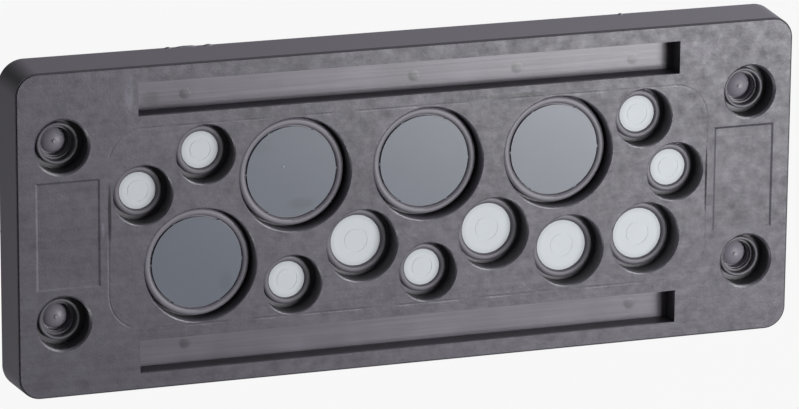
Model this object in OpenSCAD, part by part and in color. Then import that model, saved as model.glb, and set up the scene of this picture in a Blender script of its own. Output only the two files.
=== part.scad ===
// Cable entry plate for a rectangular cut-out in a cabinet wall.
// A rigid snap-in frame is overmoulded with a soft sealing body, and fourteen closed
// membranes sit in recessed sleeves, each ready for a cable to be pushed through it.
// The front face looks up. The origin is the centre of the cut-out on the panel's
// front, which is the plane that the plate seats on.

/* [Plate] */
// How far the front face reaches past the screw holes at each end
plate_end = 8.25; // [7.5:0.25:13]
// How far the front face reaches past the cut-out on each long side
plate_side = 11.5; // [11:0.25:15]
// Thickness of the sealing body that stands on the panel
plate_t = 9.5; // [9.2:0.1:11]
// Corner radius of the front face
corner_r = 4; // [3:0.25:6]
// How far each side wall slopes out from its front edge to its rear edge
side_draft = 0.55; // [0.1:0.05:1]
// Width of the shadow step round the front face
step_w = 0.3; // [0.2:0.05:0.6]
// Depth of the shadow step round the front face
step_d = 0.3; // [0.2:0.05:0.6]
// How far the sealing bead lies inside the rear edge
bead_inset = 1.6; // [1.2:0.1:2.4]
// Width of the sealing bead on the rear face
bead_w = 1.2; // [0.8:0.1:1.6]
// Height of the sealing bead over the rear face
bead_h = 0.4; // [0.3:0.05:0.6]

/* [Windows] */
// How far each long window in the front face stops short of the cut-out's ends
window_short = 4.9; // [4:0.1:11]
// Width of each long window
window_w = 6.05; // [5:0.05:6.5]
// Width of the rim between a window and the edge of the front face
window_edge = 3; // [2.8:0.05:3.4]
// Depth of the windows, down to the rigid frame
window_d = 4.2; // [4.1:0.05:4.6]
// Width of the raised strip along the inner edge of the lower window
strip_w = 1.3; // [1:0.1:2]
// Height of that strip over the window floor
strip_h = 0.5; // [0.3:0.1:1]

/* [Label fields] */
// Length of each bare label field along the plate
label_l = 11.7; // [10:0.1:12]
// Width of each bare label field
label_w = 19.7; // [16:0.1:20]
// Width of the rim between a field and the end of the front face
label_edge = 3.35; // [3:0.05:3.6]
// Depth of the fields
label_d = 0.12; // [0.1:0.01:0.3]
// Width of the slope round each field
label_slope = 0.4; // [0.2:0.05:0.6]

/* [Cut-out] */
// Length of the panel cut-out
cutout_l = 112; // [111:0.5:114]
// Width of the panel cut-out
cutout_w = 36; // [35.8:0.1:37]
// Corner radius of the frame's collar
collar_r = 2; // [1:0.25:3]
// Clearance between the collar and the cut-out on each side
collar_gap = 0.3; // [0.2:0.05:0.4]
// Wall of the collar
collar_wall = 1.5; // [1.2:0.1:1.6]
// How far the collar reaches behind the panel's front
collar_depth = 6.5; // [6:0.1:8]
// Width of the relief in the rear face round the collar
relief_w = 1.7; // [1.5:0.1:2.2]
// Depth of that relief
relief_d = 0.5; // [0.3:0.1:0.8]

/* [Snap hooks] */
// Width of a snap hook
hook_w = 6; // [5:0.25:7]
// Width of the slit on each side of a hook
hook_slit = 1; // [0.8:0.1:1.4]
// How far a hook reaches out past the collar
hook_reach = 1; // [0.8:0.05:1.2]
// Thinnest panel that the hooks hold
panel_min = 1.5; // [1.2:0.1:1.5]
// Thickest panel that the hooks hold
panel_max = 2; // [2:0.1:2.5]
// Flat land on the tip of a hook
hook_land = 0.4; // [0.2:0.1:0.6]

/* [Rigid frame] */
// Thickness of the frame plate inside the sealing body
frame_t = 3.2; // [2.6:0.1:3.4]
// How far the sealing body covers the edge of the frame plate
frame_cover = 2; // [1.6:0.1:2.4]
// Corner radius of the frame plate
frame_r = 3; // [2:0.25:4]
// Elastomer between a sleeve and the hole in the frame that it stands over
sleeve_lining = 0.4; // [0.3:0.05:0.6]
// Radius of the holes that key the sealing body into the frame
key_r = 1.5; // [1:0.1:1.8]

/* [Screw holes] */
// How far the screw holes stand outside the cut-out at each end
screw_out = 9; // [8.5:0.25:9.5]
// How far the screw holes stand inside the cut-out's long sides
screw_in = 2; // [1.5:0.25:2.5]
// Radius of the rim of a screw hole
screw_rim_r = 4.85; // [4.6:0.05:5]
// Chamfer on the rim of a screw hole
screw_chamfer = 0.35; // [0.2:0.05:0.4]
// Depth of the well round the ring in a screw hole
screw_well_d = 3.85; // [3.6:0.05:3.95]
// Depth of the rounded top of that ring
screw_ring_d = 2.9; // [2.6:0.1:3.2]
// Outer radius of the ring
screw_ring_r = 3.8; // [3.7:0.05:4]
// Inner radius of the ring
screw_seat_r = 3.15; // [3.05:0.05:3.25]
// Depth of the ledge that the screw's head pushes on
screw_ledge_d = 4.05; // [3.95:0.05:4.2]
// Radius of the screw's clearance bore
screw_bore_r = 2.75; // [2.6:0.05:2.9]
// Length of the clearance bore in front of the dome
screw_bore_l = 0.6; // [0.5:0.05:0.9]
// Elastomer between the clearance bore and the frame
screw_lining = 0.85; // [0.6:0.05:1]
// Wall of the frame's boss round a screw hole
boss_wall = 1.6; // [1.2:0.1:2]
// Radius of the dome that closes a screw hole
dome_r = 2.45; // [2.2:0.05:2.5]
// Height of that dome
dome_h = 1.5; // [1:0.1:1.6]
// Wall of that dome
dome_wall = 0.6; // [0.4:0.1:0.8]
// Radius of the nub in the middle of the dome
nub_r = 0.4; // [0.3:0.05:0.5]
// Height of that nub
nub_h = 0.15; // [0.1:0.05:0.2]

/* [Entries] */
// Depth of the gutter round each sleeve
gutter_d = 3.9; // [3.7:0.05:4]
// How far the wall of a well slopes in from rim to gutter
well_draft = 0.12; // [0.05:0.01:0.2]
// Chamfer on the rim of each well
rim_chamfer = 0.2; // [0.1:0.05:0.25]
// Depth of the top of the lock flange of each membrane
flange_d = 4.9; // [4.8:0.05:5.1]
// Height of the lock flange
flange_h = 1; // [0.8:0.1:1.4]
// How far the lock flange reaches into the sealing body
flange_reach = 0.6; // [0.4:0.05:0.7]
// Thickness of the skin that a cable pierces
skin_t = 1.1; // [0.8:0.1:1.2]
// How far the nozzles stop short of the collar's rear edge
nozzle_short = 0.5; // [0.3:0.1:1]
// Gap between the outermost nozzles and the inside of the collar
nozzle_gap = 0.18; // [0.15:0.01:0.3]
// Width of the moulded circle on the small and medium membranes
circle_w = 0.2; // [0.15:0.05:0.3]
// Depth of that circle
circle_d = 0.06; // [0.04:0.02:0.2]

/* [Large entries] */
// Radius of the rim of a large well
large_rim_r = 10.4; // [10.2:0.05:10.5]
// Outer radius of the sleeve of a large entry
large_sleeve_r = 9.85; // [9.6:0.05:9.9]
// Depth of the rounded top of that sleeve
large_sleeve_d = 2.25; // [1.8:0.05:2.3]
// Radius of a large membrane
large_disc_r = 8.3; // [8.1:0.05:8.4]
// Depth of a large membrane below the front face
large_disc_d = 2.35; // [2.3:0.05:2.6]
// Wall of a large membrane's nozzle at its root
large_wall = 1.2; // [1:0.1:1.4]
// Inner radius of a large membrane's nozzle at its tip
large_tip_r = 4.5; // [4:0.1:5]
// Width of the groove between a large membrane and its sleeve
groove_w = 0.2; // [0.15:0.01:0.4]
// Depth of that groove below the membrane
groove_d = 0.4; // [0.3:0.05:1.1]
// Number of bridges across the groove
bridge_count = 6; // [3:1:8]
// Width of a bridge
bridge_w = 0.45; // [0.3:0.05:0.6]
// How far a bridge lies below the membrane
bridge_d = 0.1; // [0.05:0.05:0.3]

/* [Medium entries] */
// Radius of the rim of a medium well
medium_rim_r = 6.65; // [6.4:0.05:6.75]
// Outer radius of the sleeve of a medium entry
medium_sleeve_r = 6.05; // [5.8:0.05:6.15]
// Depth of the rounded top of that sleeve
medium_sleeve_d = 3.45; // [3.3:0.05:3.6]
// Radius of a medium membrane
medium_disc_r = 4.7; // [4.5:0.05:4.75]
// Depth of a medium membrane below the front face
medium_disc_d = 3.95; // [3.8:0.05:4.1]
// Wall of a medium membrane's nozzle at its root
medium_wall = 1; // [0.8:0.1:1.2]
// Inner radius of a medium membrane's nozzle at its tip
medium_tip_r = 1.95; // [1.7:0.05:2.2]
// Radius of the moulded circle on a medium membrane
medium_circle_r = 2.15; // [2:0.05:2.4]

/* [Small entries] */
// Radius of the rim of a small well
small_rim_r = 5.4; // [5.2:0.05:5.5]
// Outer radius of the sleeve of a small entry
small_sleeve_r = 4.6; // [4.4:0.05:4.75]
// Depth of the rounded top of that sleeve
small_sleeve_d = 3.25; // [3.1:0.05:3.4]
// Radius of a small membrane
small_disc_r = 3.35; // [3.2:0.05:3.4]
// Depth of a small membrane below the front face
small_disc_d = 3.65; // [3.5:0.05:3.8]
// Wall of a small membrane's nozzle at its root
small_wall = 0.9; // [0.7:0.1:1]
// Inner radius of a small membrane's nozzle at its tip
small_tip_r = 1.3; // [1.1:0.05:1.6]
// Radius of the moulded circle on a small membrane
small_circle_r = 1.9; // [1.7:0.05:2.1]

/* [Hidden] */
$fn = 96;

// Overrun of every cut past the face that it opens
cut = 1;
// Finish of the moulded parts
body_colour = "#5b5a5f";
frame_colour = "#66666b";
large_colour = "#6f747c";
light_colour = "#c9cfcd";

// Heights, up from the seat on the panel
frame_top = plate_t - window_d;
frame_base = frame_top - frame_t;
gutter_z = plate_t - gutter_d;
nozzle_tip = nozzle_short - collar_depth;

// Screw pattern, front face, windows and label fields, all set from the cut-out
screw_x = cutout_l + 2 * screw_out;
screw_y = cutout_w - 2 * screw_in;
plate_l = screw_x + 2 * plate_end;
plate_w = cutout_w + 2 * plate_side;
window_l = cutout_l - 2 * window_short;
window_y = plate_w / 2 - window_edge - window_w / 2;
label_x = plate_l / 2 - label_edge - label_l / 2;

// Collar of the frame, which passes through the cut-out
collar_l = cutout_l - 2 * collar_gap;
collar_w = cutout_w - 2 * collar_gap;

// Entries: each place is a share of the room that its membrane has inside the collar,
// along and across the plate
large_shares = [[-0.486, 0.972], [0.0615, 0.969], [0.6065, 0.984], [-0.872, -0.982]];
medium_shares = [[-0.195, -0.586], [0.3127, -0.580], [0.6085, -0.973], [0.910, -0.884]];
small_shares = [[-0.994, 0.4815], [-0.7665, 0.995], [-0.4484, -1],
                [0.058, -0.997], [0.874, 0.997], [0.998, 0.166]];
function entry_room(size, disc_r) = size / 2 - collar_wall - nozzle_gap - disc_r;
function entry_places(shares, disc_r) =
    [for (s = shares) [s[0] * entry_room(collar_l, disc_r), s[1] * entry_room(collar_w, disc_r)]];
large_places = entry_places(large_shares, large_disc_r);
medium_places = entry_places(medium_shares, medium_disc_r);
small_places = entry_places(small_shares, small_disc_r);

// Radius of a ring's rounded top, as a share of its wall
round_share = 0.4;

// Snap hooks along each long side, as shares of half the collar
hook_shares = [-0.555, -0.18, 0.27, 0.675];
// Keying holes at both ends of the frame, as shares of half the plate
key_shares = [for (x = [-0.86, 0.86], y = [-0.25, 0, 0.25]) [x, y]];

// Round-cornered rectangle about the origin
module rounded_rect(l, w, r) {
    square([l - 2 * r, w], center = true);
    square([l, w - 2 * r], center = true);
    for (sx = [-1, 1], sy = [-1, 1])
        translate([sx * (l / 2 - r), sy * (w / 2 - r)]) circle(r);
}

// Ring of one width that follows a round-cornered rectangle on its inside
module rounded_ring(l, w, r, wall) {
    difference() {
        rounded_rect(l, w, r);
        rounded_rect(l - 2 * wall, w - 2 * wall, r - min(wall, r / 2));
    }
}

// Copies its children to the four screw places
module at_screws() {
    for (sx = [-1, 1], sy = [-1, 1])
        translate([sx * screw_x / 2, sy * screw_y / 2, 0]) children();
}

// Copies its children to a list of places
module at_places(places) {
    for (p = places) translate([p[0], p[1], 0]) children();
}

// Half section of an upright ring with a rounded top
module ring_section(inner, outer, base, top) {
    round_r = round_share * (outer - inner);
    translate([inner, base]) square([outer - inner, top - base - round_r]);
    translate([inner + round_r, base]) square([outer - inner - 2 * round_r, top - base]);
    for (x = [inner + round_r, outer - round_r])
        translate([x, top - round_r]) circle(round_r);
}

// Half section of a well: open above, with a sloping wall and a chamfered rim
module well_section(rim_r, floor_z, chamfer) {
    polygon([[0, floor_z],
             [rim_r - well_draft, floor_z],
             [rim_r, plate_t - chamfer],
             [rim_r + chamfer, plate_t],
             [rim_r + chamfer, plate_t + cut],
             [0, plate_t + cut]]);
}

// Outer half section of a membrane, which is also the room that the body leaves for it
module membrane_room(disc_r, disc_z) {
    flange_z = plate_t - flange_d;
    polygon([[0, disc_z],
             [disc_r, disc_z],
             [disc_r, flange_z],
             [disc_r + flange_reach, flange_z],
             [disc_r + flange_reach, flange_z - flange_h],
             [disc_r, flange_z - flange_h],
             [disc_r, 0],
             [0, 0]]);
}

// What the sealing body loses at one entry. The sleeve stays, round the membrane.
module entry_cut(rim_r, sleeve_r, sleeve_d, disc_r, disc_d, gap = 0) {
    rotate_extrude() {
        difference() {
            well_section(rim_r, gutter_z, rim_chamfer);
            ring_section(disc_r + gap, sleeve_r, 0, plate_t - sleeve_d);
            if (gap > 0)
                translate([disc_r, gutter_z])
                    square([gap, plate_t - disc_d - groove_d - gutter_z]);
        }
        membrane_room(disc_r, gutter_z);
        translate([0, -cut]) square([disc_r, cut]);
    }
}

// One membrane: the skin on top, a lock flange, and a tapered nozzle behind the panel
module membrane(disc_r, disc_d, wall, tip_r) {
    disc_z = plate_t - disc_d;
    tip_wall = wall * 0.85;
    rotate_extrude()
        difference() {
            union() {
                membrane_room(disc_r, disc_z);
                polygon([[0, 0], [disc_r, 0], [tip_r + tip_wall, nozzle_tip], [0, nozzle_tip]]);
            }
            polygon([[0, disc_z - skin_t],
                     [disc_r - wall, disc_z - skin_t],
                     [tip_r, nozzle_tip],
                     [tip_r, nozzle_tip - cut],
                     [0, nozzle_tip - cut]]);
        }
}

// Moulded circle that marks the thin middle of a membrane
module moulded_circle(circle_r, disc_d) {
    translate([0, 0, plate_t - disc_d - circle_d])
        difference() {
            cylinder(r = circle_r + circle_w / 2, h = circle_d + cut);
            translate([0, 0, -cut]) cylinder(r = circle_r - circle_w / 2, h = circle_d + 3 * cut);
        }
}

// Bridges that tie a large membrane to its sleeve across the groove
module bridges() {
    floor_z = plate_t - large_disc_d - groove_d;
    intersection() {
        translate([0, 0, floor_z])
            cylinder(r = large_disc_r + groove_w, h = groove_d - bridge_d);
        for (i = [0 : bridge_count - 1])
            rotate(360 * i / bridge_count)
                translate([large_disc_r - large_wall / 2, -bridge_w / 2, floor_z])
                    cube([large_wall / 2 + groove_w + cut, bridge_w, groove_d - bridge_d]);
    }
}

// Half section of everything that is open in a screw hole, in front of and behind its dome
module screw_hole_section() {
    ledge_z = plate_t - screw_ledge_d;
    bore_z = ledge_z - screw_bore_l;
    dome_top = bore_z;
    dome_base = dome_top - dome_h;
    ball_r = (dome_r * dome_r + dome_h * dome_h) / (2 * dome_h);
    difference() {
        union() {
            well_section(screw_rim_r, plate_t - screw_well_d, screw_chamfer);
            translate([0, ledge_z]) square([screw_seat_r, screw_ledge_d]);
        }
        ring_section(screw_seat_r, screw_ring_r, plate_t - screw_well_d,
                     plate_t - screw_ring_d);
    }
    translate([0, bore_z]) square([screw_bore_r, screw_bore_l]);
    difference() {
        translate([0, dome_base]) square([(screw_bore_r + dome_r) / 2, dome_h]);
        intersection() {
            translate([0, dome_top - ball_r]) circle(ball_r);
            translate([0, dome_base]) square([dome_r, dome_h + cut]);
        }
    }
    translate([0, -cut]) square([screw_bore_r, cut + dome_base - dome_wall]);
    intersection() {
        translate([0, dome_top - ball_r]) circle(ball_r - dome_wall);
        translate([0, dome_base - dome_wall]) square([dome_r, dome_h]);
    }
}

// Dome nub, which centres the screw's point
module nub() {
    translate([0, 0, plate_t - screw_ledge_d - screw_bore_l - nub_h])
        cylinder(r = nub_r, h = 2 * nub_h);
}

// Part of the frame that lies in the sealing body
module frame_core() {
    difference() {
        union() {
            translate([0, 0, frame_base]) linear_extrude(frame_t)
                rounded_rect(plate_l - 2 * frame_cover, plate_w - 2 * frame_cover, frame_r);
            linear_extrude(frame_base) rounded_ring(collar_l, collar_w, collar_r, collar_wall);
            at_screws()
                cylinder(r = screw_bore_r + screw_lining + boss_wall, h = frame_base);
        }
        at_screws()
            translate([0, 0, -cut]) cylinder(r = screw_bore_r + screw_lining, h = plate_t);
        frame_holes(large_places, large_sleeve_r);
        frame_holes(medium_places, medium_sleeve_r);
        frame_holes(small_places, small_sleeve_r);
        for (s = key_shares)
            translate([s[0] * plate_l / 2, s[1] * plate_w / 2, frame_base - cut])
                cylinder(r = key_r, h = frame_t + 2 * cut);
    }
}

// Holes in the frame plate under one kind of sleeve
module frame_holes(places, sleeve_r) {
    at_places(places)
        translate([0, 0, frame_base]) cylinder(r = sleeve_r + sleeve_lining, h = frame_t + cut);
}

// Nose of a snap hook, on the collar's outer face, looking along +Y
module hook_nose() {
    rotate([90, 0, 90])
        translate([0, 0, -hook_w / 2])
            linear_extrude(hook_w)
                polygon([[-collar_wall / 2, -panel_min + collar_gap],
                         [0, -panel_min + collar_gap],
                         [hook_reach, -panel_max],
                         [hook_reach, -panel_max - hook_land],
                         [0, -collar_depth],
                         [-collar_wall / 2, -collar_depth]]);
}

// Collar behind the panel, with the slits that free its snap hooks
module collar() {
    difference() {
        translate([0, 0, -collar_depth]) linear_extrude(collar_depth)
            rounded_ring(collar_l, collar_w, collar_r, collar_wall);
        for (s = hook_shares, side = [-1, 1], edge = [-1, 1])
            translate([s * collar_l / 2 + edge * (hook_w + hook_slit) / 2,
                       side * (collar_w - collar_wall) / 2,
                       -(collar_depth + cut) / 2 - relief_d])
                cube([hook_slit, collar_wall + cut, collar_depth + cut], center = true);
    }
    for (s = hook_shares, side = [0, 1])
        rotate(180 * side)
            translate([(1 - 2 * side) * s * collar_l / 2, collar_w / 2, 0]) hook_nose();
}

module snap_frame() {
    color(frame_colour)
        union() {
            frame_core();
            collar();
            translate([0, (window_w - strip_w) / 2 - window_y, frame_top + strip_h / 2])
                cube([window_l, strip_w, strip_h], center = true);
        }
}

// What the front face loses at a label field: a shallow recess with sloping edges
module label_recess() {
    hull() {
        translate([0, 0, plate_t - label_d]) linear_extrude(label_d / 2)
            square([label_l - 2 * label_slope, label_w - 2 * label_slope], center = true);
        translate([0, 0, plate_t]) linear_extrude(cut)
            square([label_l, label_w], center = true);
    }
}

module sealing_body() {
    color(body_colour) {
        difference() {
            union() {
                hull()
                    for (sx = [-1, 1], sy = [-1, 1])
                        translate([sx * (plate_l / 2 - corner_r), sy * (plate_w / 2 - corner_r), 0])
                            cylinder(r1 = corner_r + side_draft, r2 = corner_r, h = plate_t - step_d);
                linear_extrude(plate_t)
                    rounded_rect(plate_l - 2 * step_w, plate_w - 2 * step_w, corner_r - step_w);
                translate([0, 0, -bead_h]) linear_extrude(bead_h)
                    rounded_ring(plate_l - 2 * bead_inset, plate_w - 2 * bead_inset,
                                 corner_r - bead_inset / 2, bead_w);
            }
            frame_core();
            translate([0, 0, -cut]) linear_extrude(cut + relief_d)
                rounded_ring(collar_l + 2 * relief_w, collar_w + 2 * relief_w,
                             collar_r + relief_w, relief_w);
            for (side = [-1, 1]) {
                translate([0, side * window_y, frame_top + (window_d + cut) / 2])
                    cube([window_l, window_w, window_d + cut], center = true);
                translate([side * label_x, 0, 0]) label_recess();
            }
            at_screws() rotate_extrude() screw_hole_section();
            at_places(large_places)
                entry_cut(large_rim_r, large_sleeve_r, large_sleeve_d, large_disc_r,
                          large_disc_d, groove_w);
            at_places(medium_places)
                entry_cut(medium_rim_r, medium_sleeve_r, medium_sleeve_d, medium_disc_r,
                          medium_disc_d);
            at_places(small_places)
                entry_cut(small_rim_r, small_sleeve_r, small_sleeve_d, small_disc_r,
                          small_disc_d);
        }
        at_screws() nub();
    }
}

module large_membrane(i) {
    color(large_colour) translate([large_places[i][0], large_places[i][1], 0]) {
        membrane(large_disc_r, large_disc_d, large_wall, large_tip_r);
        bridges();
    }
}

module medium_membrane(i) {
    color(light_colour) translate([medium_places[i][0], medium_places[i][1], 0])
        difference() {
            membrane(medium_disc_r, medium_disc_d, medium_wall, medium_tip_r);
            moulded_circle(medium_circle_r, medium_disc_d);
        }
}

module small_membrane(i) {
    color(light_colour) translate([small_places[i][0], small_places[i][1], 0])
        difference() {
            membrane(small_disc_r, small_disc_d, small_wall, small_tip_r);
            moulded_circle(small_circle_r, small_disc_d);
        }
}

sealing_body();
snap_frame();
large_membrane(0);  // large_membrane_1
large_membrane(1);  // large_membrane_2
large_membrane(2);  // large_membrane_3
large_membrane(3);  // large_membrane_4
medium_membrane(0);  // medium_membrane_1
medium_membrane(1);  // medium_membrane_2
medium_membrane(2);  // medium_membrane_3
medium_membrane(3);  // medium_membrane_4
small_membrane(0);  // small_membrane_1
small_membrane(1);  // small_membrane_2
small_membrane(2);  // small_membrane_3
small_membrane(3);  // small_membrane_4
small_membrane(4);  // small_membrane_5
small_membrane(5);  // small_membrane_6
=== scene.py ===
"""Looks of the cable entry plate: its moulded materials, its small moulding marks, the light and the camera."""

import math

import bpy
from mathutils import Matrix, Vector


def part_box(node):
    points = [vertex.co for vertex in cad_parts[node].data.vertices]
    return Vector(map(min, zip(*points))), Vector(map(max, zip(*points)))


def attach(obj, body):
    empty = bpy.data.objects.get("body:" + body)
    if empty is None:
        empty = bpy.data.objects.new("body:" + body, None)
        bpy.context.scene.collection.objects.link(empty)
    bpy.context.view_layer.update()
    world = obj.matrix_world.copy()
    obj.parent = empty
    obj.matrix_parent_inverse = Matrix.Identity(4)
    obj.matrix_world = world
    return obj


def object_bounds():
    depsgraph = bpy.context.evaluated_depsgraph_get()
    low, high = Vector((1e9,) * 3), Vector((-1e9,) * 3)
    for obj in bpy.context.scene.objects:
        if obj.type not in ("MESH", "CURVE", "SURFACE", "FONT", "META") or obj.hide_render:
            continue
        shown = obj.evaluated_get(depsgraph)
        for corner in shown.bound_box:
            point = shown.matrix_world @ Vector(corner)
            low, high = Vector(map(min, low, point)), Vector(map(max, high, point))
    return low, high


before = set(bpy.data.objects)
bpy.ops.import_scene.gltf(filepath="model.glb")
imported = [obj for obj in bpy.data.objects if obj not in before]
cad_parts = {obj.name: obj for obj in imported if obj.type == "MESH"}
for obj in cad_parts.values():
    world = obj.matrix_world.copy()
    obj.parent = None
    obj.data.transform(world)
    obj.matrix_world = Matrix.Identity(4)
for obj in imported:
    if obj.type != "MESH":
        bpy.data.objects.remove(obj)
cad_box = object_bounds()

bl_info = {
    "name": "Cable entry plate",
    "version": (1, 0, 0),
    "blender": (4, 5, 0),
    "location": "View3D > Sidebar > Entry plate",
    "description": "Finishes a moulded cable entry plate and lights it for a product picture",
    "category": "Object",
}

MM = 0.001
PHOTO_WIDTH = 799
SENSOR_WIDTH = 36.0

BODY_LOW, BODY_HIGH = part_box("sealing_body")
FACE_Z = BODY_HIGH.z
LARGE_NAMES = [f"large_membrane_{i}" for i in range(1, 5)]
MEDIUM_NAMES = [f"medium_membrane_{i}" for i in range(1, 5)]
SMALL_NAMES = [f"small_membrane_{i}" for i in range(1, 7)]

# radii, depths and insets in millimetres at which the painted light and shade and the patterns on the solids change
SCREW_HOLES = [(x, y) for x in (-65, 65) for y in (-16, 16)]
DOME_RADIUS = 2.5
SCREW_STEP_RADIUS = 4.1
LARGE_SLEEVE_RADIUS = 9.85
MEDIUM_SLEEVE_RADIUS = 6.0
SMALL_SLEEVE_RADIUS = 4.6
MEDIUM_RIM_RADIUS = 4.7
SMALL_RIM_RADIUS = 3.35
WINDOW_DEPTH = 4.2
STEP_INSET = 0.9
STEP_CORNER = 3.6

# centre and radius of the domes and sleeves, and how much paler than the walls of the wells they are painted, as
# painted light over the painted shade of the walls
SLEEVE_PAINTED_LIGHT = [
    ((*hole, 0), radius, strength)
    for hole in SCREW_HOLES
    for radius, strength in ((DOME_RADIUS, 2.3), (SCREW_STEP_RADIUS, 1.4))
]
for names, radius, strength in (
    (LARGE_NAMES, LARGE_SLEEVE_RADIUS, 2.6),
    (MEDIUM_NAMES, MEDIUM_SLEEVE_RADIUS, 1.8),
    (SMALL_NAMES, SMALL_SLEEVE_RADIUS, 1.8),
):
    for name in names:
        low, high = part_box(name)
        SLEEVE_PAINTED_LIGHT.append((tuple((low + high) / (2 * MM)), radius, strength))

# half depth of a mark on the front face, so large that the mark doesn't fade with depth
MARK_DEPTH = 9.0
# the front face begins between these depths under its highest point
FACE_START = 0.3
FACE_FULL = 0.16
# half sizes and corner radius of the rounded rectangle that the sink line follows
SINK_HALF = (56.7, 18.3)
SINK_CORNER = 6.5
# the side walls, which painted light makes paler, are what lies outside this inset from the edge
SIDE_INSET = 1.5
SIDE_CORNER = 3.0
# centre and half sizes in millimetres, raggedness, and how much paler or darker
FACE_MARKS = [
    ((-57.7, 0.3), (0.35, 1.9), 0.1, 1.6),
    ((-52.8, 24.6), (1.2, 4.4), 1.2, 1.6),
    ((57.0, 24.8), (3.0, 1.8), 1.2, 1.5),
    ((52.0, 25.5), (7.0, 1.0), 1.2, 1.35),
    ((20.0, 18.8), (22.0, 0.5), 1.0, 0.6),
]
WITNESS_LINES = [((-56.5, 3.05), (0.45, 7.5), 0.1), ((56.7, 0.0), (0.25, 8.0), 0.9)]
# place and half sizes of a dark smudge on the floor of the upper window
WINDOW_SMUDGE = ((-47.5, 22.5), (2.2, 1.6))
# centre, half sizes and shade of the darker patches on the large membranes
MEMBRANE_DARK_PATCHES = [
    ((-20.4, 1.6), (3.6, 1.5), 0.82),
    ((-34.6, -11.6), (1.6, 2.6), 0.88),
    ((-27.8, 12.2), (2.0, 1.4), 0.93),
]
MEMBRANE_TOP = 7.1
# place along the long edge and length of each flash nib, and the places of the two on the short edge
NIBS = [(-42.9, 1.2), (-39.5, 4.2), (-35.5, 1.8), (43.0, 0.8)]
END_NIBS = (0.6, -0.9)
END_NIB_LENGTH = 1.2
NIB_OVERLAP = 0.1
NIB_LEVEL = 0.25
# the gate mark's place from the middle of its membrane
GATE_OFFSET = (-1.5, 1.1)
# share of a ball's half height that lies under the floor of a window, so that its cap has a soft edge
PIN_SUNK = 0.9
PIN_MARKS = [(-41.3, 22.9), (1.4, 22.9), (21.1, 22.9), (43.5, 22.9), (-41.6, -22.9), (43.7, -23.4)]


def linear(hex_colour):
    """Linear RGB, from an sRGB hex value."""
    channels = [int(hex_colour[i : i + 2], 16) / 255 for i in (1, 3, 5)]
    return tuple(c / 12.92 if c <= 0.04045 else ((c + 0.055) / 1.055) ** 2.4 for c in channels)


def colour_prop(name, hex_colour, description):
    """A colour that a user may change."""
    return bpy.props.FloatVectorProperty(
        name=name, description=description, subtype="COLOR", size=3, min=0, max=1, default=linear(hex_colour)
    )


def length_prop(name, millimetres, description):
    """A length that a user may change, in metres."""
    return bpy.props.FloatProperty(
        name=name, description=description, unit="LENGTH", min=0, precision=5, default=millimetres * MM
    )


def place_prop(name, place, description):
    """A place that a user may change, in metres."""
    return bpy.props.FloatVectorProperty(
        name=name, description=description, subtype="TRANSLATION", unit="LENGTH", size=3, default=place
    )


def power_prop(name, power, description):
    """The power of a lamp or the world."""
    return bpy.props.FloatProperty(name=name, description=description, min=0, default=power)


class EntryPlateColours(bpy.types.PropertyGroup):
    """Colours of the moulded materials."""

    elastomer: colour_prop("Dark elastomer", "#393640", "Front face of the sealing body")
    bloom: colour_prop("Bloom", "#5b5862", "Where the dark elastomer has bloomed")
    # painted shade: the walls of the wells and windows take this dark colour, and painted light makes it paler on
    # the sleeves, domes and sides
    wall: colour_prop("Well walls", "#4c4a50", "Walls of the wells and windows, and paler on the sleeves and sides")
    polyamide: colour_prop("Frame plastic", "#65616c", "Rigid frame under the windows and behind the panel")
    slate: colour_prop("Large membranes", "#676d79", "Smooth slate membranes")
    # painted shade: the rims of the light membranes keep this colour and their middles are painted paler
    light_grey: colour_prop("Light membranes", "#c2c7cb", "Rims of the soft light grey membranes")
    gate: colour_prop("Gate mark", "#aab2b6", "Stretched elastomer where the gate broke off")
    floor: colour_prop("Floor", "#484848", "Plain floor under the plate")


class EntryPlateSizes(bpy.types.PropertyGroup):
    """Sizes of the moulding marks."""

    nib_height: length_prop("Flash nib height", 0.28, "How far a flash nib stands out of the rear edge")
    nib_thickness: length_prop("Flash nib thickness", 0.5, "Thickness of the flash")
    pin_radius: length_prop("Pin mark radius", 1.1, "Radius of the ejector pin marks in the windows")
    pin_height: length_prop("Pin mark height", 0.02, "Height of the ejector pin marks")
    gate_radius: length_prop("Gate mark radius", 0.2, "Radius of the gate mark on a large membrane")


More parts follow.
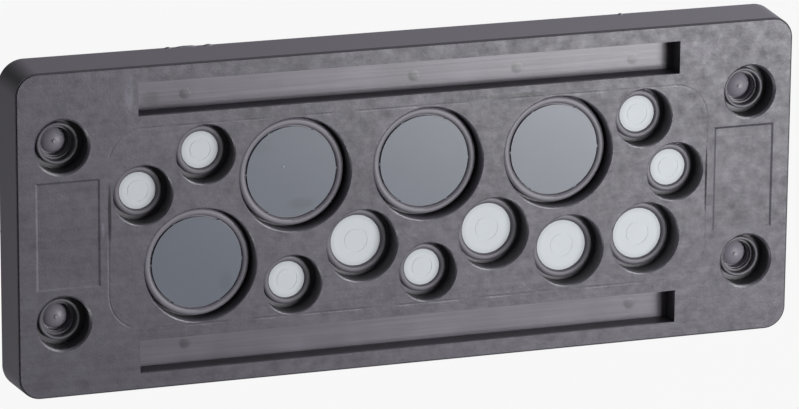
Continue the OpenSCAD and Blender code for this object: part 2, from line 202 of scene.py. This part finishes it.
class EntryPlateStage(bpy.types.PropertyGroup):
    """Camera and light."""

    focal_px: bpy.props.FloatProperty(
        name="Focal length", description="Focal length in pixels of the photograph", default=4936.2, min=100
    )
    distance: length_prop("Camera distance", 882.5, "From the camera to the point it looks at")
    target: place_prop("Camera target", (-2.65 * MM, 0.43 * MM, FACE_Z), "Point that the camera looks at")
    azimuth: bpy.props.FloatProperty(
        name="Camera azimuth", description="Direction of the camera round the plate", subtype="ANGLE",
        default=math.radians(140.65),
    )
    elevation: bpy.props.FloatProperty(
        name="Camera elevation", description="Angle of the camera over the front face", subtype="ANGLE",
        default=math.radians(65.34),
    )
    roll: bpy.props.FloatProperty(
        name="Camera roll", description="Turn of the picture", subtype="ANGLE", default=math.radians(0.39)
    )
    key_place: place_prop("Key light place", (0.21, 0.01, 0.48), "Centre of the key softbox")
    key_size: length_prop("Key light size", 160, "Side of the key softbox")
    key_power: power_prop("Key light power", 1.36, "Watts of the key softbox")
    gloss_place: place_prop("Gloss light place", (0.31, -0.07, 0.48), "Centre of the softbox that the face mirrors")
    gloss_size: length_prop("Gloss light size", 160, "Side of the softbox that the face mirrors")
    gloss_power: power_prop("Gloss light power", 1.13, "Watts of the softbox that the face mirrors")
    rim_place: place_prop("Rim light place", (0.37, 0.40, 0.05), "Centre of the low softbox at the right")
    rim_size: length_prop("Rim light width", 420, "Width of the low softbox at the right")
    rim_height: length_prop("Rim light height", 90, "Height of the low softbox at the right")
    rim_power: power_prop("Rim light power", 3.7, "Watts of the low softbox at the right")
    side_place: place_prop("Side light place", (-0.42, -0.36, 0.03), "Centre of the low softbox at the left")
    side_size: length_prop("Side light size", 120, "Side of the low softbox at the left")
    side_power: power_prop("Side light power", 1.75, "Watts of the low softbox at the left")
    fill: power_prop("Fill light", 0.10, "Strength of the world on the object")


def node(tree, kind, inputs=None, **settings):
    """Adds a node, with its settings, and with values or links for its inputs."""
    made = tree.nodes.new(kind)
    for name, value in settings.items():
        setattr(made, name, value)
    for socket, value in (inputs or {}).items():
        if isinstance(value, bpy.types.NodeSocket):
            tree.links.new(value, made.inputs[socket])
        else:
            made.inputs[socket].default_value = value
    return made


def new_material(name):
    """A material and its tree, which is empty."""
    material = bpy.data.materials.new(name)
    material.use_nodes = True
    material.node_tree.nodes.clear()
    return material, material.node_tree


def give(obj, material):
    """Puts one material on every slot of an object."""
    if not obj.data.materials:
        obj.data.materials.append(material)
    for i in range(len(obj.data.materials)):
        obj.data.materials[i] = material


def rgba(colour):
    """A colour with full alpha, for a colour socket."""
    return (*colour, 1.0)


def millimetres(tree):
    """Object coordinates in millimetres."""
    coords = node(tree, "ShaderNodeTexCoord")
    scaled = node(tree, "ShaderNodeVectorMath", {0: coords.outputs["Object"], "Scale": 1 / MM}, operation="SCALE")
    return scaled.outputs[0]


def smudge(tree, place, centre, radii, ragged):
    """Factor of a soft smudge round a point, one in its middle and nought outside, with a ragged edge."""
    offset = node(tree, "ShaderNodeVectorMath", {0: place, 1: centre}, operation="SUBTRACT")
    scaled = node(tree, "ShaderNodeVectorMath", {0: offset.outputs[0], 1: radii}, operation="DIVIDE")
    distance = node(tree, "ShaderNodeVectorMath", {0: scaled.outputs[0]}, operation="LENGTH")
    torn = node(tree, "ShaderNodeTexNoise", {"Vector": place, "Scale": 1.3, "Detail": 4.0, "Roughness": 0.7})
    reach = node(
        tree, "ShaderNodeMath", {0: torn.outputs["Fac"], 1: ragged, 2: distance.outputs["Value"]},
        operation="MULTIPLY_ADD",
    )
    inside = node(
        tree, "ShaderNodeMapRange",
        {"Value": reach.outputs[0], "From Min": 0.35 + ragged / 2, "From Max": 1.0 + ragged / 2, "To Min": 1.0,
         "To Max": 0.0},
        interpolation_type="SMOOTHSTEP",
    )
    return inside.outputs[0]


def outside(tree, place, half, corner):
    """Distance along the face from a rounded rectangle about the origin, in millimetres."""
    flat = node(tree, "ShaderNodeVectorMath", {0: place, 1: (1, 1, 0)}, operation="MULTIPLY")
    mirrored = node(tree, "ShaderNodeVectorMath", {0: flat.outputs[0]}, operation="ABSOLUTE")
    inner = node(
        tree, "ShaderNodeVectorMath", {0: mirrored.outputs[0], 1: (half[0] - corner, half[1] - corner, 0)},
        operation="SUBTRACT",
    )
    outer = node(tree, "ShaderNodeVectorMath", {0: inner.outputs[0], 1: (0, 0, 0)}, operation="MAXIMUM")
    radius = node(tree, "ShaderNodeVectorMath", {0: outer.outputs[0]}, operation="LENGTH")
    return node(tree, "ShaderNodeMath", {0: radius.outputs["Value"], 1: corner}, operation="SUBTRACT").outputs[0]


def sink_line(tree, place):
    """Factor of the sink line that the frame's collar leaves in the front face, a rounded rectangle."""
    away = node(tree, "ShaderNodeMath", {0: outside(tree, place, SINK_HALF, SINK_CORNER)}, operation="ABSOLUTE")
    line = node(
        tree, "ShaderNodeMapRange", {"Value": away.outputs[0], "From Max": 0.3, "To Min": 1.0, "To Max": 0.0},
        interpolation_type="SMOOTHSTEP",
    )
    broken = node(tree, "ShaderNodeTexNoise", {"Vector": place, "Scale": 1 / 9, "Detail": 2.0})
    shown = node(tree, "ShaderNodeMapRange", {"Value": broken.outputs["Fac"], "From Min": 0.42, "From Max": 0.56})
    return node(
        tree, "ShaderNodeMath", {0: line.outputs[0], 1: shown.outputs[0]}, operation="MULTIPLY"
    ).outputs[0]


def within(tree, place, centre, radius, soft):
    """Factor of a round place on the plate, one inside its radius and nought past its soft edge."""
    offset = node(tree, "ShaderNodeVectorMath", {0: place, 1: centre}, operation="SUBTRACT")
    flat = node(tree, "ShaderNodeVectorMath", {0: offset.outputs[0], 1: (1, 1, 0)}, operation="MULTIPLY")
    distance = node(tree, "ShaderNodeVectorMath", {0: flat.outputs[0]}, operation="LENGTH")
    inside = node(
        tree, "ShaderNodeMapRange",
        {"Value": distance.outputs["Value"], "From Min": radius, "From Max": radius + soft, "To Min": 1.0,
         "To Max": 0.0},
    )
    return inside.outputs[0]


def tinted(tree, colour, factor, strength):
    """A colour that is scaled by the strength where the factor is one."""
    scale = node(tree, "ShaderNodeMapRange", {"Value": factor, "To Min": 1.0, "To Max": strength})
    scaled = node(tree, "ShaderNodeVectorMath", {0: colour, "Scale": scale.outputs[0]}, operation="SCALE")
    return scaled.outputs[0]


def step_painted_shade(tree, place, height):
    """Factor of the painted shade in the step round the front face."""
    off = outside(tree, place, (BODY_HIGH.x / MM - STEP_INSET, BODY_HIGH.y / MM - STEP_INSET), STEP_CORNER)
    round_face = node(tree, "ShaderNodeMapRange", {"Value": off, "From Max": 0.06})
    near_top = node(
        tree, "ShaderNodeMapRange",
        {"Value": height, "From Min": FACE_Z / MM - 0.5, "From Max": FACE_Z / MM - 0.4},
    )
    both = node(
        tree, "ShaderNodeMath", {0: round_face.outputs[0], 1: near_top.outputs[0]}, operation="MULTIPLY"
    )
    return both.outputs[0]


def elastomer_material(colours):
    """Thermoplastic elastomer, moulded against an eroded steel face: matt, with cloudy bloom and fine grain.
    Painted shade gives the walls of the wells a darker colour, and painted light gives the sleeves, domes and sides
    a paler one."""
    material, tree = new_material("moulded_dark_elastomer")
    place = millimetres(tree)
    clouds = node(tree, "ShaderNodeTexNoise", {"Vector": place, "Scale": 1 / 14, "Detail": 3.0, "Roughness": 0.6})
    mottle = node(tree, "ShaderNodeTexNoise", {"Vector": place, "Scale": 1 / 2.2, "Detail": 5.0, "Roughness": 0.7})
    grain = node(tree, "ShaderNodeTexNoise", {"Vector": place, "Scale": 1 / 0.3, "Detail": 2.0})
    along = node(tree, "ShaderNodeMapping", {"Vector": place, "Scale": (0.06, 1.3, 1.0)})
    streaks = node(tree, "ShaderNodeTexNoise", {"Vector": along.outputs[0], "Scale": 1.0, "Detail": 4.0})
    xyz = node(tree, "ShaderNodeSeparateXYZ", {0: place})
    on_face = node(
        tree, "ShaderNodeMapRange",
        {"Value": xyz.outputs["Z"], "From Min": FACE_Z / MM - FACE_START, "From Max": FACE_Z / MM - FACE_FULL},
    )
    bloom = None
    for noise, weight in ((clouds, 0.3), (mottle, 0.7), (streaks, 0.25)):
        bloom = node(
            tree, "ShaderNodeMath",
            {0: noise.outputs["Fac"], 1: weight, 2: bloom.outputs[0] if bloom else 0.0}, operation="MULTIPLY_ADD",
        )
    bloom = node(tree, "ShaderNodeMapRange", {"Value": bloom.outputs[0], "From Min": 0.43, "From Max": 0.83})
    face_colour = node(
        tree, "ShaderNodeMix",
        {"Factor": bloom.outputs[0], 6: rgba(colours.elastomer), 7: rgba(colours.bloom)},
        data_type="RGBA",
    )
    sunk = sink_line(tree, place)
    face_colour = tinted(tree, face_colour.outputs[2], sunk, 0.95)
    for centre, radii, ragged, strength in FACE_MARKS:
        mark = smudge(tree, place, (*centre, FACE_Z / MM), (*radii, MARK_DEPTH), ragged)
        face_colour = tinted(tree, face_colour, mark, strength)
    # painted light: the side walls are made paler than the walls of the wells
    half = (BODY_HIGH.x / MM - SIDE_INSET, BODY_HIGH.y / MM - SIDE_INSET)
    side = node(
        tree, "ShaderNodeMapRange", {"Value": outside(tree, place, half, SIDE_CORNER), "From Max": 0.2}
    )
    painted_light_wall_colour = tinted(tree, colours.wall, side.outputs[0], 1.8)
    # painted light on the domes and sleeves, over the painted shade of the well walls
    for centre, radius, strength in SLEEVE_PAINTED_LIGHT:
        painted_light_wall_colour = tinted(tree, painted_light_wall_colour, within(tree, place, centre, radius, 0.3), strength)
    colour = node(
        tree, "ShaderNodeMix", {"Factor": on_face.outputs[0], 6: painted_light_wall_colour, 7: face_colour}, data_type="RGBA"
    )
    # painted shade in the step round the front face, joined with the dark witness lines, darkens the colour and
    # dulls the gloss
    step_shade_and_witness_lines = step_painted_shade(tree, place, xyz.outputs["Z"])
    for centre, radii, ragged in WITNESS_LINES:
        line = smudge(tree, place, (*centre, FACE_Z / MM), (*radii, MARK_DEPTH), ragged)
        step_shade_and_witness_lines = node(tree, "ShaderNodeMath", {0: step_shade_and_witness_lines, 1: line}, operation="MAXIMUM").outputs[0]
    colour = tinted(tree, colour.outputs[2], step_shade_and_witness_lines, 0.45)
    face_roughness = node(
        tree, "ShaderNodeMapRange",
        {"Value": mottle.outputs["Fac"], "From Min": 0.3, "From Max": 0.7, "To Min": 0.5, "To Max": 0.35},
    )
    roughness = node(
        tree, "ShaderNodeMix",
        {"Factor": on_face.outputs[0], 2: 0.45, 3: face_roughness.outputs[0]},
    )
    roughness = node(tree, "ShaderNodeMix", {"Factor": step_shade_and_witness_lines, 2: roughness.outputs[0], 3: 0.9})
    height = node(
        tree, "ShaderNodeMath", {0: grain.outputs["Fac"], 1: 0.4, 2: mottle.outputs["Fac"]},
        operation="MULTIPLY_ADD",
    )
    height = node(tree, "ShaderNodeMath", {0: sunk, 1: -0.6, 2: height.outputs[0]}, operation="MULTIPLY_ADD")
    face_height = node(
        tree, "ShaderNodeMath", {0: height.outputs[0], 1: on_face.outputs[0]}, operation="MULTIPLY"
    )
    bump = node(
        tree, "ShaderNodeBump", {"Height": face_height.outputs[0], "Strength": 0.5, "Distance": 0.07 * MM}
    )
    shader = node(
        tree, "ShaderNodeBsdfPrincipled",
        {"Base Color": colour, "Roughness": roughness.outputs[0], "Normal": bump.outputs[0], "IOR": 1.5},
    )
    node(tree, "ShaderNodeOutputMaterial", {"Surface": shader.outputs[0]})
    return material


def polyamide_material(colours):
    """Glass filled polyamide, moulded: satin, with faint flow lines along the plate."""
    material, tree = new_material("moulded_polyamide")
    place = millimetres(tree)
    along = node(tree, "ShaderNodeMapping", {"Vector": place, "Scale": (0.04, 1.8, 1.0)})
    flow = node(tree, "ShaderNodeTexNoise", {"Vector": along.outputs[0], "Scale": 1.0, "Detail": 4.0})
    clouds = node(tree, "ShaderNodeTexNoise", {"Vector": place, "Scale": 1 / 9, "Detail": 2.0})
    shade = node(
        tree, "ShaderNodeMath", {0: flow.outputs["Fac"], 1: 0.7, 2: clouds.outputs["Fac"]}, operation="MULTIPLY_ADD"
    )
    shade = node(
        tree, "ShaderNodeMapRange",
        {"Value": shade.outputs[0], "From Min": 0.5, "From Max": 1.2, "To Min": 0.75, "To Max": 1.25},
    )
    colour = node(
        tree, "ShaderNodeVectorMath", {0: colours.polyamide, "Scale": shade.outputs[0]}, operation="SCALE"
    )
    colour = colour.outputs[0]
    for x, y in PIN_MARKS:
        stain = smudge(tree, place, (x, y, FACE_Z / MM - WINDOW_DEPTH), (1.5, 1.4, 3.0), 0.5)
        colour = tinted(tree, colour, stain, 0.55)
    centre, radii = WINDOW_SMUDGE
    stain = smudge(tree, place, (*centre, FACE_Z / MM - WINDOW_DEPTH), (*radii, 3.0), 0.9)
    colour = tinted(tree, colour, stain, 0.65)
    bump = node(
        tree, "ShaderNodeBump", {"Height": flow.outputs["Fac"], "Strength": 0.3, "Distance": 0.05 * MM}
    )
    shader = node(
        tree, "ShaderNodeBsdfPrincipled",
        {"Base Color": colour, "Roughness": 0.34, "Normal": bump.outputs[0], "IOR": 1.53},
    )
    node(tree, "ShaderNodeOutputMaterial", {"Surface": shader.outputs[0]})
    return material


def slate_material(colours):
    """Thermoplastic elastomer, moulded against polished steel: smooth, with a soft even shine.
    Three darker patches lie on two of the membranes."""
    material, tree = new_material("moulded_slate_elastomer")
    place = millimetres(tree)
    clouds = node(tree, "ShaderNodeTexNoise", {"Vector": place, "Scale": 1 / 7, "Detail": 3.0})
    shade = node(tree, "ShaderNodeMapRange", {"Value": clouds.outputs["Fac"], "To Min": 0.95, "To Max": 1.05})
    colour = node(
        tree, "ShaderNodeVectorMath", {0: colours.slate, "Scale": shade.outputs[0]}, operation="SCALE"
    ).outputs[0]
    for centre, radii, strength in MEMBRANE_DARK_PATCHES:
        dull = smudge(tree, place, (*centre, MEMBRANE_TOP), (*radii, MARK_DEPTH), 0.9)
        colour = tinted(tree, colour, dull, strength)
    shader = node(
        tree, "ShaderNodeBsdfPrincipled", {"Base Color": colour, "Roughness": 0.3, "IOR": 1.5}
    )
    node(tree, "ShaderNodeOutputMaterial", {"Surface": shader.outputs[0]})
    return material


def light_grey_material(colours):
    """Soft elastomer without filler: pale, with a matt skin. Painted shade makes the rims darker than the middles.
    """
    material, tree = new_material("moulded_light_grey_elastomer")
    place = millimetres(tree)
    clouds = node(tree, "ShaderNodeTexNoise", {"Vector": place, "Scale": 1 / 3, "Detail": 3.0})
    shade = node(tree, "ShaderNodeMapRange", {"Value": clouds.outputs["Fac"], "To Min": 0.97, "To Max": 1.03})
    colour = node(
        tree, "ShaderNodeVectorMath", {0: colours.light_grey, "Scale": shade.outputs[0]}, operation="SCALE"
    ).outputs[0]
    # painted shade at the rims: the middle of each medium and small membrane is made paler than its rim
    for name in MEDIUM_NAMES + SMALL_NAMES:
        low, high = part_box(name)
        radius = MEDIUM_RIM_RADIUS if name in MEDIUM_NAMES else SMALL_RIM_RADIUS
        shaded_rim_width = 0.9
        unshaded_middle = within(tree, place, tuple((low + high) / (2 * MM)), radius - shaded_rim_width, shaded_rim_width)
        colour = tinted(tree, colour, unshaded_middle, 1.2)
    shader = node(
        tree, "ShaderNodeBsdfPrincipled", {"Base Color": colour, "Roughness": 0.5, "IOR": 1.45}
    )
    node(tree, "ShaderNodeOutputMaterial", {"Surface": shader.outputs[0]})
    return material


def gate_material(colours):
    """Elastomer that whitened where it was stretched and torn: pale and dull."""
    material, tree = new_material("torn_gate_elastomer")
    place = millimetres(tree)
    torn = node(tree, "ShaderNodeTexNoise", {"Vector": place, "Scale": 8.0, "Detail": 2.0})
    shade = node(tree, "ShaderNodeMapRange", {"Value": torn.outputs["Fac"], "To Min": 0.85, "To Max": 1.15})
    colour = node(
        tree, "ShaderNodeVectorMath", {0: colours.gate, "Scale": shade.outputs[0]}, operation="SCALE"
    )
    shader = node(
        tree, "ShaderNodeBsdfPrincipled", {"Base Color": colour.outputs[0], "Roughness": 0.7, "IOR": 1.5}
    )
    node(tree, "ShaderNodeOutputMaterial", {"Surface": shader.outputs[0]})
    return material


def marks_tree():
    """Geometry Nodes tree that puts a rounded mark of its own size on each point of a mesh."""
    tree = bpy.data.node_groups.new("moulding_marks", "GeometryNodeTree")
    tree.interface.new_socket("Points", in_out="INPUT", socket_type="NodeSocketGeometry")
    tree.interface.new_socket("Ragged", in_out="INPUT", socket_type="NodeSocketFloat")
    tree.interface.new_socket("Material", in_out="INPUT", socket_type="NodeSocketMaterial")
    tree.interface.new_socket("Marks", in_out="OUTPUT", socket_type="NodeSocketGeometry")
    given = node(tree, "NodeGroupInput")
    size = node(tree, "GeometryNodeInputNamedAttribute", {"Name": "mark_size"}, data_type="FLOAT_VECTOR")
    ball = node(tree, "GeometryNodeMeshUVSphere", {"Segments": 24, "Rings": 12, "Radius": 1.0})
    placed = node(
        tree, "GeometryNodeInstanceOnPoints",
        {"Points": given.outputs["Points"], "Instance": ball.outputs["Mesh"], "Scale": size.outputs["Attribute"]},
    )
    real = node(tree, "GeometryNodeRealizeInstances", {"Geometry": placed.outputs[0]})
    noise = node(tree, "ShaderNodeTexNoise", {"Scale": 1.4 / MM, "Detail": 2.0})
    centred = node(
        tree, "ShaderNodeVectorMath", {0: noise.outputs["Color"], 1: (0.5, 0.5, 0.5)}, operation="SUBTRACT"
    )
    push = node(
        tree, "ShaderNodeVectorMath", {0: centred.outputs[0], "Scale": given.outputs["Ragged"]}, operation="SCALE"
    )
    torn = node(tree, "GeometryNodeSetPosition", {"Geometry": real.outputs[0], "Offset": push.outputs[0]})
    smooth = node(tree, "GeometryNodeSetShadeSmooth", {"Geometry": torn.outputs[0]})
    finished = node(
        tree, "GeometryNodeSetMaterial", {"Geometry": smooth.outputs[0], "Material": given.outputs["Material"]}
    )
    node(tree, "NodeGroupOutput", {0: finished.outputs[0]})
    return tree


def moulding_marks(name, places, sizes, ragged, material):
    """Makes one piece of rounded marks, each at its place and with its own half sizes, all in metres."""
    points = bpy.data.meshes.new(name)
    points.from_pydata(places, [], [])
    attribute = points.attributes.new("mark_size", "FLOAT_VECTOR", "POINT")
    for item, size in zip(attribute.data, sizes):
        item.vector = size
    piece = bpy.data.objects.new(name, points)
    bpy.context.scene.collection.objects.link(piece)
    modifier = piece.modifiers.new("marks", "NODES")
    modifier.node_group = bpy.data.node_groups.get("moulding_marks") or marks_tree()
    for socket in modifier.node_group.interface.items_tree:
        if socket.name == "Ragged":
            modifier[socket.identifier] = ragged
        elif socket.name == "Material":
            modifier[socket.identifier] = material
    evaluated = piece.evaluated_get(bpy.context.evaluated_depsgraph_get())
    piece.data = bpy.data.meshes.new_from_object(evaluated)
    piece.modifiers.clear()
    bpy.data.meshes.remove(points)
    piece.data.name = name
    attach(piece, "root")
    return piece


class ENTRYPLATE_OT_sealing_body(bpy.types.Operator):
    """Finish the dark sealing body, with the flash left on its rear edge"""

    bl_idname = "entryplate.sealing_body"
    bl_label = "Sealing body"

    def execute(self, context):
        sizes = context.scene.entryplate_sizes
        material = elastomer_material(context.scene.entryplate_colours)
        give(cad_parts["sealing_body"], material)
        top = BODY_HIGH.y
        left = BODY_LOW.x
        places = [(x * MM, top - NIB_OVERLAP * MM, NIB_LEVEL * MM) for x, length in NIBS]
        extents = [(length * MM / 2, sizes.nib_height, sizes.nib_thickness) for x, length in NIBS]
        for y in END_NIBS:
            places.append((left + NIB_OVERLAP * MM, y * MM, NIB_LEVEL * MM))
            extents.append((sizes.nib_height / 2, END_NIB_LENGTH * MM / 2, sizes.nib_thickness))
        moulding_marks("flash_nibs", places, extents, 0.15 * MM, material)
        return {"FINISHED"}


class ENTRYPLATE_OT_snap_frame(bpy.types.Operator):
    """Finish the rigid frame, with the ejector pin marks in its windows"""

    bl_idname = "entryplate.snap_frame"
    bl_label = "Snap-in frame"

    def execute(self, context):
        sizes = context.scene.entryplate_sizes
        material = polyamide_material(context.scene.entryplate_colours)
        give(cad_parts["snap_frame"], material)
        floor_z = FACE_Z - WINDOW_DEPTH * MM
        radius = sizes.pin_radius / math.sqrt(1 - PIN_SUNK**2)
        height = sizes.pin_height / (1 - PIN_SUNK)
        places = [(x * MM, y * MM, floor_z - PIN_SUNK * height) for x, y in PIN_MARKS]
        extents = [(radius, radius, height)] * len(PIN_MARKS)
        moulding_marks("pin_marks", places, extents, 0.0, material)
        return {"FINISHED"}


class ENTRYPLATE_OT_membranes(bpy.types.Operator):
    """Finish the large, medium and small membranes, with the gate mark on a large one"""

    bl_idname = "entryplate.membranes"
    bl_label = "Membranes"

    def execute(self, context):
        colours = context.scene.entryplate_colours
        slate = slate_material(colours)
        light_grey = light_grey_material(colours)
        for name in LARGE_NAMES:
            give(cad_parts[name], slate)
        for name in MEDIUM_NAMES + SMALL_NAMES:
            give(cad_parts[name], light_grey)
        low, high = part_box("large_membrane_1")
        middle = (low + high) / 2
        radius = context.scene.entryplate_sizes.gate_radius
        place = (middle.x + GATE_OFFSET[0] * MM, middle.y + GATE_OFFSET[1] * MM, high.z)
        moulding_marks(
            "gate_mark", [place], [(radius, radius, radius / 2)], 0.05 * MM, gate_material(colours),
        )
        return {"FINISHED"}


def area_light(name, place, aim, size, height, power):
    """A softbox that looks at a point."""
    data = bpy.data.lights.new(name, "AREA")
    data.shape = "RECTANGLE"
    data.size = size
    data.size_y = height
    data.energy = power
    lamp = bpy.data.objects.new(name, data)
    lamp.location = place
    lamp.rotation_euler = (Vector(place) - Vector(aim)).to_track_quat("Z", "Y").to_euler()
    bpy.context.scene.collection.objects.link(lamp)
    return lamp


class ENTRYPLATE_OT_stage(bpy.types.Operator):
    """Make the floor, the light and the camera"""

    bl_idname = "entryplate.stage"
    bl_label = "Stage"

    def execute(self, context):
        stage = context.scene.entryplate_stage
        self.camera(context, stage)
        self.floor(context, context.scene.entryplate_colours)
        self.world(context, stage)
        middle = Vector((0, 0, FACE_Z / 2))
        for name in ("key", "gloss", "rim", "side"):
            size = getattr(stage, f"{name}_size")
            area_light(
                f"{name}_light", getattr(stage, f"{name}_place"), middle, size,
                getattr(stage, f"{name}_height", size), getattr(stage, f"{name}_power"),
            )
        context.scene.view_settings.view_transform = "Standard"
        return {"FINISHED"}

    def camera(self, context, stage):
        data = bpy.data.cameras.new("photo_camera")
        data.sensor_width = SENSOR_WIDTH
        data.lens = SENSOR_WIDTH * stage.focal_px / PHOTO_WIDTH
        data.clip_start = 0.01
        data.clip_end = 20
        camera = bpy.data.objects.new("photo_camera", data)
        backwards = Vector(
            (
                math.cos(stage.elevation) * math.cos(stage.azimuth),
                math.cos(stage.elevation) * math.sin(stage.azimuth),
                math.sin(stage.elevation),
            )
        )
        right = Vector((0, 1, 0)).cross(backwards).normalized()
        up = backwards.cross(right)
        turn = Matrix((right, up, backwards)).transposed().to_4x4()
        place = Matrix.Translation(Vector(stage.target) + backwards * stage.distance)
        camera.matrix_world = place @ turn @ Matrix.Rotation(stage.roll, 4, "Z")
        context.scene.collection.objects.link(camera)
        context.scene.camera = camera

    def floor(self, context, colours):
        mesh = bpy.data.meshes.new("floor")
        half = 3.0
        gap = 0.02 * MM
        low = cad_box[0][2] - gap
        corners = [(-half, -half, low), (half, -half, low), (half, half, low), (-half, half, low)]
        mesh.from_pydata(corners, [], [(0, 1, 2, 3)])
        floor = bpy.data.objects.new("floor", mesh)
        context.scene.collection.objects.link(floor)
        material, tree = new_material("painted_floor")
        paint = node(tree, "ShaderNodeBsdfDiffuse", {"Color": rgba(colours.floor)})
        glow = node(tree, "ShaderNodeEmission", {"Color": (1, 1, 1, 1), "Strength": 1.0})
        path = node(tree, "ShaderNodeLightPath")
        seen = None
        for ray, weight in (("Is Camera Ray", 1.0), ("Is Transmission Ray", 1.0), ("Is Glossy Ray", 0.08)):
            seen = node(
                tree, "ShaderNodeMath", {0: path.outputs[ray], 1: weight, 2: seen.outputs[0] if seen else 0.0},
                operation="MULTIPLY_ADD", use_clamp=True,
            )
        glow_share = 0.93
        share = node(tree, "ShaderNodeMath", {0: seen.outputs[0], 1: glow_share}, operation="MULTIPLY")
        mix = node(tree, "ShaderNodeMixShader", {"Fac": share.outputs[0], 1: paint.outputs[0], 2: glow.outputs[0]})
        node(tree, "ShaderNodeOutputMaterial", {"Surface": mix.outputs[0]})
        give(floor, material)

    def world(self, context, stage):
        world = bpy.data.worlds.new("studio")
        context.scene.world = world
        world.use_nodes = True
        tree = world.node_tree
        tree.nodes.clear()
        path = node(tree, "ShaderNodeLightPath")
        room = node(tree, "ShaderNodeBackground", {"Color": (1, 1, 1, 1), "Strength": stage.fill})
        backdrop = node(tree, "ShaderNodeBackground", {"Color": (1, 1, 1, 1), "Strength": 1.0})
        mix = node(
            tree, "ShaderNodeMixShader",
            {"Fac": path.outputs["Is Camera Ray"], 1: room.outputs[0], 2: backdrop.outputs[0]},
        )
        node(tree, "ShaderNodeOutputWorld", {"Surface": mix.outputs[0]})


class ENTRYPLATE_PT_panel(bpy.types.Panel):
    """Lists the steps that dress the plate"""

    bl_label = "Entry plate"
    bl_idname = "ENTRYPLATE_PT_panel"
    bl_space_type = "VIEW_3D"
    bl_region_type = "UI"
    bl_category = "Entry plate"

    def draw(self, context):
        for operator in OPERATORS:
            self.layout.operator(operator.bl_idname)


OPERATORS = (
    ENTRYPLATE_OT_stage,
    ENTRYPLATE_OT_sealing_body,
    ENTRYPLATE_OT_snap_frame,
    ENTRYPLATE_OT_membranes,
)
GROUPS = {
    "entryplate_colours": EntryPlateColours,
    "entryplate_sizes": EntryPlateSizes,
    "entryplate_stage": EntryPlateStage,
}


def register():
    for group in GROUPS.values():
        bpy.utils.register_class(group)
    for name, group in GROUPS.items():
        setattr(bpy.types.Scene, name, bpy.props.PointerProperty(type=group))
    for operator in OPERATORS:
        bpy.utils.register_class(operator)
    bpy.utils.register_class(ENTRYPLATE_PT_panel)


def unregister():
    bpy.utils.unregister_class(ENTRYPLATE_PT_panel)
    for operator in reversed(OPERATORS):
        bpy.utils.unregister_class(operator)
    for name in GROUPS:
        delattr(bpy.types.Scene, name)
    for group in reversed(list(GROUPS.values())):
        bpy.utils.unregister_class(group)


def main():
    register()
    bpy.ops.entryplate.stage()
    bpy.ops.entryplate.sealing_body()
    bpy.ops.entryplate.snap_frame()
    bpy.ops.entryplate.membranes()


if __name__ == "__main__":
    main()
